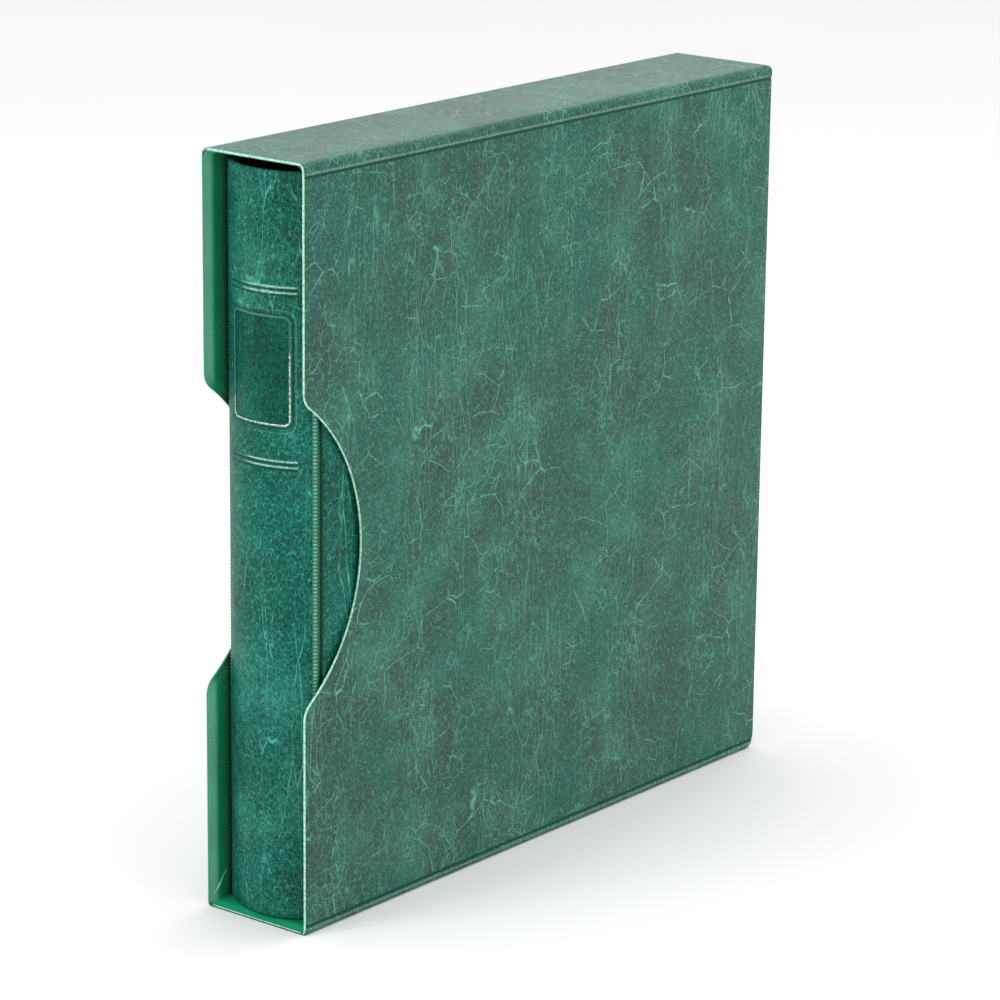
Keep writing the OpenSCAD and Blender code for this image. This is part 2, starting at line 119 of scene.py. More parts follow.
# Lengthwise pitch of the small ribs on the hinge bead
HINGE_RIB_PITCH = 1.55
# Camera fitted to the photo: place (mm), yaw, pitch down and roll (degrees), and lens (mm)
CAMERA_PLACE = (1080.6, -1347.0, 630.1)
CAMERA_TURN = (-38.736, 15.558, 0.653)
CAMERA_LENS = 147.26


# ---------------------------------------------------------------- mesh helpers

def smooth_step(low, high, value):
    """0 below low, 1 above high, and a smooth rise between them."""
    t = np.clip((value - low) / (high - low), 0.0, 1.0)
    return t * t * (3 - 2 * t)


def arc_inset(radius, distance):
    """How far a rounded edge of that radius has come in, at a distance from where it would be sharp."""
    rest = max(radius - distance, 0.0)
    return radius - math.sqrt(max(radius * radius - rest * rest, 0.0))


def steps(low, high, pitch):
    """Evenly spaced values from low to high, about a pitch apart."""
    count = max(int(round(abs(high - low) / pitch)), 1)
    return [low + (high - low) * i / count for i in range(count + 1)]


def make_piece(name, verts, faces, material, body, replaces=()):
    """A smooth-shaded mesh in metres, riding on a body and standing for some CAD nodes."""
    mesh = bpy.data.meshes.new(name)
    mesh.from_pydata([tuple(np.array(v) * MM) for v in verts], [], faces)
    mesh.validate()
    mesh.update()
    mesh.shade_smooth()
    piece = bpy.data.objects.new(name, mesh)
    bpy.context.scene.collection.objects.link(piece)
    mesh.materials.append(material)
    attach(piece, body)
    if replaces:
        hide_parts(*replaces)
    return piece


def grid_faces(rows, columns, closed_rows=False, closed_columns=False):
    """Quads between neighbouring points of a grid, joined round on itself where it is closed."""
    faces = []
    for r in range(rows if closed_rows else rows - 1):
        for c in range(columns if closed_columns else columns - 1):
            r2, c2 = (r + 1) % rows, (c + 1) % columns
            faces.append((r * columns + c, r * columns + c2, r2 * columns + c2, r2 * columns + c))
    return faces


def grid_piece(name, rows, material, body, slot, replaces=(), thickness=0.0, flip=False, relief=None,
               extra=(), **closed):
    """A sheet through rows of points. With a thickness it becomes a closed solid behind its face.

    relief holds one value for each point, from 1 on a ridge to -1 in a groove. extra holds more faces.
    """
    if len({len(row) for row in rows}) > 1:
        raise ValueError(f"{name}: its rows differ in length")
    verts = [p for row in rows for p in row]
    faces = grid_faces(len(rows), len(rows[0]), **closed) + list(extra)
    if flip:
        faces = [tuple(reversed(f)) for f in faces]
    piece = make_piece(name, verts, faces, material, body, replaces)
    if relief is not None:
        marks = piece.data.attributes.new("relief", "FLOAT", "POINT")
        marks.data.foreach_set("value", np.array(relief, dtype=np.float32).ravel())
    if thickness:
        solid = piece.modifiers.new("thickness", "SOLIDIFY")
        solid.thickness = thickness * MM
        solid.offset = -1
        solid.use_even_offset = False
    return piece


# ---------------------------------------------------------------- materials

class Nodes:
    """Short names for building one node material."""

    def __init__(self, name):
        self.material = bpy.data.materials.new(name)
        self.material.use_nodes = True
        self.tree = self.material.node_tree
        self.shader = self.tree.nodes["Principled BSDF"]

    def add(self, kind, settings=None, **inputs):
        node = self.tree.nodes.new(kind)
        for key, value in (settings or {}).items():
            setattr(node, key, value)
        for key, value in inputs.items():
            self.feed(node.inputs[key.replace("_", " ")], value)
        return node

    def feed(self, socket, value):
        if isinstance(value, bpy.types.NodeSocket):
            self.tree.links.new(value, socket)
        else:
            socket.default_value = value

    def coords(self, scale=(1, 1, 1)):
        """Position on the object in millimetres, stretched by scale."""
        place = self.add("ShaderNodeTexCoord").outputs["Object"]
        node = self.add("ShaderNodeVectorMath", {"operation": "MULTIPLY"})
        self.feed(node.inputs[0], place)
        self.feed(node.inputs[1], tuple(s / MM for s in scale))
        return node.outputs[0]

    def shifted(self, vector, seed):
        """The vector moved far away, so that two materials do not show the same pattern."""
        node = self.add("ShaderNodeVectorMath", {"operation": "ADD"})
        self.feed(node.inputs[0], vector)
        self.feed(node.inputs[1], (seed * 311.0, seed * 173.0, seed * 97.0))
        return node.outputs[0]

    def shade(self, colour, factor):
        """The colour times a grey factor."""
        grey = self.add("ShaderNodeCombineColor", Red=factor, Green=factor, Blue=factor).outputs[0]
        return self.mix(1.0, colour, grey, "MULTIPLY")

    def noise(self, vector, size, detail=2.0, roughness=0.5):
        """Noise whose blobs are about size millimetres across; gives (value, colour)."""
        node = self.add("ShaderNodeTexNoise", Vector=vector, Scale=1.0 / size, Detail=detail,
                        Roughness=roughness)
        return node.outputs["Fac"], node.outputs["Color"]

    def warp(self, vector, size, amount):
        """The vector pushed about by noise."""
        shift = self.add("ShaderNodeVectorMath", {"operation": "SUBTRACT"})
        self.feed(shift.inputs[0], self.noise(vector, size, 2.0)[1])
        self.feed(shift.inputs[1], (0.5, 0.5, 0.5))
        node = self.add("ShaderNodeVectorMath", {"operation": "MULTIPLY_ADD"})
        self.feed(node.inputs[0], shift.outputs[0])
        self.feed(node.inputs[1], (amount, amount, amount))
        self.feed(node.inputs[2], vector)
        return node.outputs[0]

    def cracks(self, vector, size, width):
        """Thin lines between cells of a size; 1 on a line, 0 away from it."""
        cells = self.add("ShaderNodeTexVoronoi", {"feature": "DISTANCE_TO_EDGE"}, Vector=vector,
                         Scale=1.0 / size)
        return self.remap(cells.outputs["Distance"], 0.0, width / size, 1.0, 0.0)

    def remap(self, value, low, high, new_low=0.0, new_high=1.0):
        node = self.add("ShaderNodeMapRange", {"interpolation_type": "SMOOTHSTEP"})
        for key, number in zip(("Value", "From Min", "From Max", "To Min", "To Max"),
                               (value, low, high, new_low, new_high)):
            self.feed(node.inputs[key], number)
        return node.outputs["Result"]

    def math(self, operation, *values):
        node = self.add("ShaderNodeMath", {"operation": operation})
        for socket, value in zip(node.inputs, values):
            self.feed(socket, value)
        return node.outputs[0]

    def mix(self, factor, first, second, blend="MIX"):
        node = self.add("ShaderNodeMix", {"data_type": "RGBA", "blend_type": blend})
        self.feed(node.inputs["Factor"], factor)
        self.feed(node.inputs["A"], first)
        self.feed(node.inputs["B"], second)
        return node.outputs["Result"]

    def bump(self, height, depth, strength=1.0, normal=None):
        node = self.add("ShaderNodeBump", Height=height, Distance=depth * MM, Strength=strength)
        if normal is not None:
            self.feed(node.inputs["Normal"], normal)
        return node.outputs["Normal"]

    def finish(self, **sockets):
        for key, value in sockets.items():
            self.feed(self.shader.inputs[key.replace("_", " ")], value)
        return self.material


def rgb(code):
    """Linear colour from a hex code as seen on screen."""
    values = [int(code[i:i + 2], 16) / 255 for i in (0, 2, 4)]
    return tuple(v / 12.92 if v <= 0.04045 else ((v + 0.055) / 1.055) ** 2.4 for v in values) + (1.0,)


def leatherette(name, base, patch, crease, branch=1.0, tall=0.7, net=0.5, tall_size=4.5, cloud=60,
                gloss=0.46, shine=0.28, sheen=0.0, seed=0.0, edges=None):
    """Grained vinyl leather: cloudy colour, a fine pebbled grain, and pale raised creases.

    branch, tall and net set how strong the branching creases, the upright wrinkles and the fine net are.
    edges is a (pale, dark) pair of colours painted on ridges as highlight and in grooves as shade, where
    the "relief" attribute marks them.
    """
    n = Nodes(name)
    plain = n.shifted(n.coords(), seed)
    upright = n.shifted(n.coords((1, 1, 0.13)), seed)
    short = n.shifted(n.coords((1, 1, 0.6)), seed)
    colour = n.mix(n.remap(n.noise(plain, cloud, 2.0, 0.6)[0], 0.38, 0.66), rgb(base), rgb(patch))
    haze = n.remap(n.noise(plain, 34, 3.0, 0.55)[0], 0.46, 0.75, 0.0, 0.16)
    colour = n.mix(haze, colour, rgb(crease))
    speck = n.remap(n.noise(short, 0.85, 2.0, 0.75)[0], 0.32, 0.68, 0.5, 1.52)
    colour = n.shade(n.shade(colour, speck), n.remap(n.noise(plain, 7, 3.0, 0.6)[0], 0.3, 0.7, 0.9, 1.1))
    bent = n.warp(n.warp(plain, 30, 13), 3.0, 1.0)
    wide = n.cracks(bent, 21, 0.34)
    wide = n.math("MULTIPLY", wide, n.remap(n.noise(plain, 30, 1.0)[0], 0.5, 0.57, 0.0, branch))
    twigs = n.cracks(bent, 6.5, 0.24)
    twigs = n.math("MULTIPLY", twigs, n.remap(n.noise(plain, 26, 1.0)[0], 0.52, 0.62, 0.0, 0.8 * branch))
    folds = n.cracks(n.warp(upright, 7, 2.4), tall_size, 0.15)
    folds = n.math("MULTIPLY", folds, n.remap(n.noise(upright, 16, 1.0)[0], 0.46, 0.6, 0.0, tall))
    lines = n.math("MAXIMUM", n.math("MAXIMUM", wide, twigs), folds)
    lines = n.math("MULTIPLY", lines, n.remap(n.noise(plain, 3.0, 2.0, 0.7)[0], 0.36, 0.52, 0.12, 1.0))
    web = n.cracks(n.warp(short, 2.2, 1.8), 1.7, 0.12)
    web = n.math("MULTIPLY", web, n.remap(n.noise(plain, 1.9, 2.0)[0], 0.4, 0.6, 0.0, net))
    marks = n.math("MAXIMUM", lines, web)
    colour = n.mix(n.math("MULTIPLY", marks, 0.85), colour, rgb(crease))
    # Painted highlight on the ridges of the relief, broken up by worn flecks, and painted shade in its
    # grooves.
    if edges:
        relief = n.add("ShaderNodeAttribute", {"attribute_name": "relief"}).outputs["Fac"]
        rubbed_and_painted_light = n.remap(n.noise(plain, 0.9, 3.0, 0.7)[0], 0.34, 0.56, 0.25, 1.0)
        pale = n.math("MULTIPLY", n.remap(relief, 0.1, 0.8), rubbed_and_painted_light)
        colour = n.mix(pale, colour, rgb(edges[0]))
        colour = n.mix(n.remap(relief, -0.1, -0.8, 0.0, 0.85), colour, rgb(edges[1]))
    pebble = n.add("ShaderNodeTexVoronoi", Vector=short, Scale=1.0 / 0.62)
    grain = n.math("ADD", pebble.outputs["Distance"], n.noise(plain, 0.5, 2.0)[0])
    height = n.math("MULTIPLY_ADD", lines, 0.6, n.math("MULTIPLY", grain, 0.4))
    normal = n.bump(height, 0.2, 0.8, n.bump(n.noise(plain, 7, 2.0)[0], 0.3, 0.5))
    rough = n.remap(n.noise(plain, 3.5, 3.0)[0], 0.3, 0.7, gloss - 0.05, gloss + 0.09)
    return n.finish(Base_Color=colour, Roughness=rough, Normal=normal, Specular_IOR_Level=shine,
                    Sheen_Weight=sheen, Sheen_Roughness=0.35)


def vinyl(name, bands, gloss=0.28):
    """Smooth soft vinyl of the linings, with faint waves and scuffs.

    bands are (colour, depth behind the mouth) pairs: the tone changes smoothly from one to the next.
    """
    n = Nodes(name)
    plain = n.coords()
    depth = n.add("ShaderNodeSeparateXYZ", Vector=n.warp(plain, 30, 1.5)).outputs["Y"]
    colour = rgb(bands[0][0])
    for (_, start), (code, end) in zip(bands, bands[1:]):
        colour = n.mix(n.remap(depth, MOUTH + start, MOUTH + end), colour, rgb(code))
    colour = n.shade(colour, n.remap(n.noise(plain, 26, 3.0)[0], 0.35, 0.7, 0.88, 1.1))
    colour = n.shade(colour, n.remap(n.noise(plain, 0.8, 3.0)[0], 0.3, 0.75, 0.92, 1.07))
    normal = n.bump(n.noise(n.coords((1, 1, 0.2)), 9, 2.0)[0], 0.3, 0.4)
    normal = n.bump(n.noise(plain, 0.35, 2.0)[0], 0.02, 0.4, normal)
    rough = n.remap(n.noise(plain, 6, 4.0)[0], 0.3, 0.7, gloss - 0.04, gloss + 0.1)
    return n.finish(Base_Color=colour, Roughness=rough, Normal=normal)


def weld(name, base, pale, dark):
    """Vinyl pressed and melted along a seam: pale on its ridges as a painted highlight, broken up by worn
    flecks, and dark in its grooves as painted shade.

    The "relief" attribute says which: 1 on a ridge, 0 on the flat and -1 in a groove.
    """
    n = Nodes(name)
    plain = n.coords()
    relief = n.add("ShaderNodeAttribute", {"attribute_name": "relief"}).outputs["Fac"]
    rubbed_and_painted_light = n.remap(n.noise(plain, 1.6, 3.0, 0.7)[0], 0.32, 0.6, 0.3, 1.0)
    # Painted highlight on ridges, then painted shade in grooves.
    colour = n.mix(n.math("MULTIPLY", n.remap(relief, 0.0, 1.0), rubbed_and_painted_light), rgb(base), rgb(pale))
    colour = n.mix(n.remap(relief, 0.0, -1.0), colour, rgb(dark))
    normal = n.bump(n.noise(plain, 0.7, 3.0)[0], 0.05, 0.5)
    rough = n.remap(n.noise(plain, 1.5, 3.0)[0], 0.3, 0.7, 0.26, 0.42)
    return n.finish(Base_Color=colour, Roughness=rough, Normal=normal,
                    Specular_IOR_Level=n.remap(relief, -1.0, 0.0, 0.1, 0.45))


def worn_foil(name, metal, ground):
    """Stamped silver foil, worn off in flecks and gone altogether where "relief" is 0; where relief keeps
    it, the pale metal is partly a painted highlight.
    """
    n = Nodes(name)
    plain = n.coords()
    relief = n.add("ShaderNodeAttribute", {"attribute_name": "relief"}).outputs["Fac"]
    flecks = n.math("ADD", n.noise(plain, 0.9, 3.0, 0.75)[0], n.math("MULTIPLY", relief, -0.3))
    worn = n.remap(flecks, 0.14, 0.3)
    colour = n.mix(worn, rgb(metal), rgb(ground))
    normal = n.bump(n.noise(plain, 0.5, 3.0)[0], 0.04, 0.5)
    return n.finish(Base_Color=colour, Metallic=n.remap(worn, 0.0, 1.0, 0.6, 0.0),
                    Roughness=n.remap(worn, 0.0, 1.0, 0.35, 0.5), Normal=normal)


def metal(name, base, rough):
    """Plated or bare steel with fine rolling marks."""
    n = Nodes(name)
    marks = n.noise(n.coords((1, 1, 0.08)), 0.5, 4.0, 0.6)[0]
    smear = n.noise(n.coords(), 9, 3.0)[0]
    roughness = n.remap(n.math("ADD", marks, smear), 0.6, 1.4, rough - 0.05, rough + 0.12)
    return n.finish(Base_Color=rgb(base), Metallic=1.0, Roughness=roughness,
                    Normal=n.bump(marks, 0.01, 0.3))


def card(name, base, speck, size):
    """Matt board or paper with fibres and a slightly uneven tone."""
    n = Nodes(name)
    plain = n.coords()
    colour = n.mix(n.remap(n.noise(plain, size, 5.0, 0.7)[0], 0.35, 0.7), rgb(base), rgb(speck))
    normal = n.bump(n.noise(plain, size / 3, 4.0)[0], 0.03, 0.5)
    return n.finish(Base_Color=colour, Roughness=0.85, Normal=normal)


def clear_film(name):
    n = Nodes(name)
    scuffs = n.noise(n.coords((1, 1, 0.3)), 4, 4.0)[0]
    return n.finish(Base_Color=rgb("dfe8e4"), Roughness=n.remap(scuffs, 0.3, 0.7, 0.1, 0.3),
                    Transmission_Weight=0.7, IOR=1.5)


MATERIALS = {
    "case_leather": leatherette("case_leatherette", "135447", "1f473d", "5faf97", tall=0.6, net=0.6,
                                tall_size=3.4, sheen=0.2),
    # Spine leather: the pale edge colour is painted highlight on the embossed ridges, the dark one painted
    # shade in its grooves.
    "spine_leather": leatherette("spine_leatherette", "005748", "00483a", "54b69e", branch=0.3,
                                 tall=1.0, net=0.62, tall_size=7.0, cloud=30, gloss=0.46, shine=0.14,
                                 seed=1.0, edges=("93c9b4", "02352a")),
    # Case wall lining: the pale mint bands within about 5 mm of the mouth are painted reflection, and the
    # darkening from 9 mm to nearly black-green at 13.5 mm behind the mouth is painted shade inside the
    # case.
    "wall_lining": vinyl("case_wall_lining_painted_reflection_and_shade", (("5cab8a", 0.0), ("4f9f7d", 3.2), ("0a8458", 5.4),
                                                    ("1d7350", 9.0), ("26352a", 13.5)), 0.34),
    # Floor lining: the darkening from 10 to 40 mm behind the mouth is painted shade under the album.
    "floor_lining": vinyl("case_floor_lining_vinyl", (("14936a", 0.0), ("0f8a60", 10.0), ("0a6045", 40.0))),
    "album_lining": vinyl("album_lining_vinyl", (("0f7a58", 0.0), ("0c6a4c", 200.0)), 0.34),
    # Welds: the pale colour is painted highlight on lips, ribs and beads, the dark colour painted shade in
    # grooves and on the shaded side of the lip.
    "lip": weld("welded_lip", "2f8a6a", "b4e6cc", "06382a"),
    "seam": weld("welded_seam", "1c5c4a", "b4dccb", "0f4436"),
    "bead": weld("hinge_bead", "1a6a52", "84c8ae", "032a1f"),
    "label": leatherette("label_leatherette", "004b3c", "004033", "1f8870", branch=0.3, tall=0.5,
                         net=0.5, cloud=20, gloss=0.42, shine=0.1, seed=2.0),
    "foil": worn_foil("silver_foil", "ccd8d3", "1f7358"),
    "board": card("grey_board", "8f8674", "a59c8a", 2.0),
    "nickel": metal("nickel_plate", "d9dadb", 0.16),
    "steel": metal("plain_steel", "a9acae", 0.32),
    "paper": card("album_card", "efe8d6", "e6ddc8", 1.2),
    "film": clear_film("mount_film"),
}


# ---------------------------------------------------------------- slipcase

def thumb_edge(z):
    """How far the front edge of a side wall lies behind the mouth at a height, because of the thumb cut."""
    blend_z = math.sqrt((THUMB_R + THUMB_BLEND) ** 2 - (THUMB_OUT + THUMB_BLEND) ** 2)
    touch_z = THUMB_R / (THUMB_R + THUMB_BLEND) * blend_z
    away = abs(z - MIDDLE)
    if away >= blend_z:
        return 0.0
    if away >= touch_z:
        return THUMB_BLEND - math.sqrt(THUMB_BLEND ** 2 - (blend_z - away) ** 2)
    return math.sqrt(THUMB_R ** 2 - away ** 2) - THUMB_OUT


def edge_normal(z):
    """Unit vector in the side view that points out of the wall across its front edge, as (y, z)."""
    small = 0.05
    slope = (thumb_edge(z + small) - thumb_edge(z - small)) / (2 * small)
    length = math.hypot(1.0, slope)
    return -1.0 / length, slope / length


def u_row(z, inset_side, inset_back, corner, start, front_roll):
    """One level of the outer sheet: from the mouth along the right side, round the back to the left.

    start is where the sheet begins behind the mouth, and front_roll how far its front edge turns in.
    """
    x = HALF_WIDTH - inset_side
    back = BACK - inset_back
    turn = max(corner - inset_side, 0.05)
    first = MOUTH + start
    side = []
    for step in FRONT_STEPS:
        roll = front_roll * max(1 - step / 0.9, 0) ** 2
        side.append((x - roll, first + step))
    last = side[-1][1]
    side += [(x, y) for y in np.linspace(last, back - turn, 72)[1:]]
    arc = [(x - turn + turn * math.cos(a), back - turn + turn * math.sin(a))
           for a in np.linspace(0, math.pi / 2, 7)[1:]]
    half = side + arc
    across = [(v, back) for v in np.linspace(x - turn, 0, 8)[1:]]
    left = [(-v, y) for v, y in reversed(half + across[:-1])]
    return [(px, py, z) for px, py in half + across + left]


def wall_level(z):
    """Level of the sheet round the sides and back, tucked under the two welded strips."""
    tuck = 0.55 * (1 - smooth_step(0.0, 1.1, min(z - BASE_SEAM, TOP_SEAM - z)))
    wave = 0.12 * noise.noise(Vector((z * 0.02, 3.1, 0)))
    inset = 0.22 + tuck + 0.06 * wave
    normal_y = abs(edge_normal(z)[0])
    start = thumb_edge(z) + LIP_START / normal_y
    rear = arc_inset(REAR_BASE_R, z) + inset
    return u_row(z, inset, rear, REAR_EDGE_R, start, 0.25)


def case_wall_sheet():
    """Leatherette round both sides and the back, from the base seam to the top seam."""
    levels = steps(BASE_SEAM + 0.1, BASE_SEAM + 2.0, 0.2)
    levels += steps(BASE_SEAM + 2.0, FINE_LOW, 3.0)[1:] + steps(FINE_LOW, FINE_HIGH, 1.0)[1:]
    levels += steps(FINE_HIGH, TOP_SEAM - 2.0, 3.0)[1:]
    levels += steps(TOP_SEAM - 2.0, TOP_SEAM - 0.1, 0.2)[1:]
    rows = [wall_level(z) for z in levels]
    grid_piece("case_side_and_back_leather", rows, MATERIALS["case_leather"], "slipcase",
               "case_leatherette", ["case_wall_skin"], thickness=0.35)


def strip_rows(edge_radius, rear_radius, depth):
    """Levels of a strip that caps one end of the case, as (height from the end, side inset, rear inset).

    They run from the welded edge of the strip to the middle of the end face.
    """
    levels = []
    for up in steps(depth, edge_radius, 0.22)[:-1]:
        edge = arc_inset(0.5, depth - up)
        levels.append((up, edge, arc_inset(rear_radius, up) + edge))
    for angle in np.linspace(0, math.pi / 2, 10):
        up = edge_radius * (1 - math.sin(angle))
        levels.append((up, arc_inset(edge_radius, up), arc_inset(rear_radius, up)))
    for inset in steps(edge_radius, 14.0, 3.0)[1:]:
        levels.append((0.0, inset, max(rear_radius, inset)))
    return levels


def strip_sheet(name, node, end_z, direction, edge_radius, rear_radius, depth):
    """Sheet that caps one end of the case. Its last row is closed across the middle by a line of quads."""
    rows = []
    for up, side, rear in strip_rows(edge_radius, rear_radius, depth):
        rows.append(u_row(end_z + direction * up, side, rear, REAR_EDGE_R, LIP_START, 0.0))
    last = (len(rows) - 1) * len(rows[0])
    end = last + len(rows[0]) - 1
    middle = [(last + i, last + i + 1, end - i - 1, end - i) for i in range(len(rows[0]) // 2)]
    grid_piece(name, rows, MATERIALS["case_leather"], "slipcase", "case_leatherette", [node],
               thickness=0.3, flip=direction > 0, extra=middle)


def case_strips():
    strip_sheet("case_floor_leather", "case_floor_skin", 0.0, 1, BASE_EDGE_R, REAR_BASE_R,
                BASE_SEAM)
    strip_sheet("case_top_leather", "case_top_skin", HEIGHT, -1, TOP_EDGE_R, TOP_EDGE_R,
                HEIGHT - TOP_SEAM)


def swept_tube(name, path, across, out, half_across, half_out, material, body, slot, closed=True,
               sides=12, relief=None):
    """A tube of elliptical section along a path, with the section's two directions at each point."""
    rows = []
    for p, a, o, ha, ho in zip(path, across, out, half_across, half_out):
        p, a, o = np.array(p), np.array(a), np.array(o)
        rows.append([p + a * ha * math.cos(t) + o * ho * math.sin(t)
                     for t in np.linspace(0, 2 * math.pi, sides, endpoint=False)])
    if relief is not None:
        relief = [np.broadcast_to(mark, sides) for mark in relief]
    return grid_piece(name, rows, material, body, slot, relief=relief, closed_rows=closed,
                      closed_columns=True)


def mouth_loop():
    """Points round the lip of the mouth, with the wall direction and the outward direction of each."""
    path, across, out = [], [], []

    def put(x, y, z, a, o):
        path.append((x, y, z))
        across.append(a)
        out.append(o)

    depth = LIP_START
    half = LIP / 2
    x = HALF_WIDTH - half
    corners = ((1, TOP_EDGE_R - half), (-1, BASE_EDGE_R + 1.2 - half))
    low, high = half + corners[1][1], HEIGHT - half - corners[0][1]

    def side(sign, heights):
        for z in heights:
            ny, nz = edge_normal(z)
            y = MOUTH + thumb_edge(z)
            put(sign * x, y - ny * depth, z - nz * depth, (1, 0, 0), (0, ny, nz))

    def corner(cx, cz, radius, start):
        for angle in np.linspace(start, start + math.pi / 2, 8)[1:-1]:
            c, s = math.cos(angle), math.sin(angle)
            put(cx + radius * c, MOUTH + depth, cz + radius * s, (c, 0, s), (0, -1, 0))

    def across_mouth(start, end, z):
        for px in steps(start, end, 2.0):
            put(px, MOUTH + depth, z, (0, 0, 1), (0, -1, 0))

    rise = steps(low, high, 0.9)
    side(1, rise)
    corner(x - corners[0][1], high, corners[0][1], 0)
    across_mouth(x - corners[0][1], -x + corners[0][1], HEIGHT - half)
    corner(-x + corners[0][1], high, corners[0][1], math.pi / 2)
    side(-1, reversed(rise))
    corner(-x + corners[1][1], low, corners[1][1], math.pi)
    across_mouth(-x + corners[1][1], x - corners[1][1], half)
    corner(x - corners[1][1], low, corners[1][1], 1.5 * math.pi)
    return path, across, out


def case_lip():
    """Welded lip round the mouth, painted pale as a highlight except on the far left wall; along the front
    of the floor it is pale only on its upper side and painted dark as shade below.
    """
    path, across, out = mouth_loop()
    sides = 12
    inner = np.cos(np.linspace(0, 2 * math.pi, sides, endpoint=False))
    thick, proud, rubbed_and_painted_light = [], [], []
    for x, y, z in path:
        ripple = noise.noise(Vector((x, y, z)) * 0.35)
        thick.append((LIP / 2 - 0.06) * (1 + 0.08 * ripple))
        proud.append(0.36 * (1 + 0.2 * noise.noise(Vector((x, y, z)) * 0.9 + Vector((7, 0, 0)))))
        # Less painted highlight on the far left wall, whose lip faces away from the light.
        painted_highlight_side = float(smooth_step(-27.0, -22.0, x))
        on_floor = 1 - float(smooth_step(0.8, 2.0, z))
        rubbed_and_painted_light.append(painted_highlight_side * (1 - on_floor) + on_floor * np.where(inner > 0.3, 0.8 * painted_highlight_side, -0.9))
    swept_tube("case_mouth_lip", path, across, out, thick, proud, MATERIALS["lip"], "slipcase",
               "case_leatherette", relief=rubbed_and_painted_light, sides=sides)


def seam_path(z, inset, pitch):
    """Points along a level from the mouth round the back, with the outward direction at each."""
    rear = inset + arc_inset(REAR_BASE_R, z)
    x, back = HALF_WIDTH - inset, BACK - rear
    turn = REAR_EDGE_R
    side = [(x, y, 0.0) for y in steps(MOUTH + 0.7, back - turn, pitch)]
    arc = [(x - turn + turn * math.cos(a), back - turn + turn * math.sin(a), a)
           for a in steps(0, math.pi / 2, pitch / turn)[1:-1]]
    across = [(v, back, math.pi / 2) for v in steps(x - turn, 0, pitch)]
    half = side + arc + across
    left = [(-px, py, math.pi - a) for px, py, a in reversed(half[:-1])]
    points = half + left
    return ([(px, py, z) for px, py, a in points],
            [(math.cos(a), math.sin(a), 0) for px, py, a in points])


def seam(name, line_z, bead_z, pitch, height):
    """A groove along a level, painted dark as shade, and a row of small ribs beside it, painted pale on
    their crests as highlight.
    """
    for part, z, inset, half_up, half_out, ribbed in (("groove", line_z, 0.3, 0.8, 0.22, False),
                                                      ("ribs", bead_z, 0.12, height, 0.3, True)):
        path, out = seam_path(z, inset, pitch / 4 if ribbed else 4.0)
        up = [(0, 0, 1)] * len(path)
        # Marks: painted highlight on the crests of the ribs, painted shade all along the groove.
        if ribbed:
            wave = [math.cos(math.pi * i / 2) for i in range(len(path))]
            ups = [half_up * (1 + 0.1 * w) for w in wave]
            outs = [half_out * (0.72 + 0.28 * w) for w in wave]
            marks = [0.1 + 0.7 * w for w in wave]
        else:
            ups, outs = [half_up] * len(path), [half_out] * len(path)
            marks = [-1.0] * len(path)
        swept_tube(f"{name}_{part}", path, up, out, ups, outs, MATERIALS["seam"], "slipcase",
                   "case_leatherette", closed=False, sides=8, relief=marks)


def case_seams():
    seam("case_base_seam", BASE_SEAM + 0.05, BASE_SEAM - 1.25, 1.5, 0.5)
    seam("case_top_seam", TOP_SEAM - 0.05, TOP_SEAM + 1.0, 1.1, 0.55)


def lining_gussets():
    """Fold of the lining from each lower corner of the mouth up the side wall."""
    for side, sign in (("left", -1), ("right", 1)):
        path, across, out = [], [], []
        for t in np.linspace(0, 1, 24):
            depth, z = 1.0 + 8.5 * t, 2.4 + 12.0 * t ** 0.85
            x = lining_loop(depth)[0] - 0.06
            path.append((sign * x, MOUTH + depth, z))
            across.append((0, -0.8, 0.6))
            out.append((-sign, 0, 0))
        size = [0.32 * math.sin(math.pi * (0.08 + 0.84 * t)) for t in np.linspace(0, 1, 24)]
        # The fold's edge is painted pale all along as a highlight.
        swept_tube(f"case_{side}_lining_fold", path, across, out, size, [0.8 * v for v in size],
                   MATERIALS["lip"], "slipcase", "case_lining", closed=False, sides=8,
                   relief=[0.8] * len(path))


def lining_loop(offset):
    """Half width, floor, roof and two corner radii of the lining at a distance behind the mouth."""
    flare = 1 - smooth_step(0.4, 4.6, offset)
    x = INNER_HALF_WIDTH + flare * (HALF_WIDTH - LIP - INNER_HALF_WIDTH)
    floor = INNER_FLOOR - flare * (INNER_FLOOR - LIP)
    roof = INNER_ROOF + flare * (HEIGHT - LIP - INNER_ROOF)
    top_r, floor_r = 2.2 + 1.2 * flare, 0.6 + 0.6 * flare
    return x, floor, roof, top_r, floor_r


def corner_arc(cx, cz, radius, start, end):
    """Points of an arc in the front view."""
    return [(cx + radius * math.cos(a), cz + radius * math.sin(a)) for a in np.linspace(start, end, 5)]


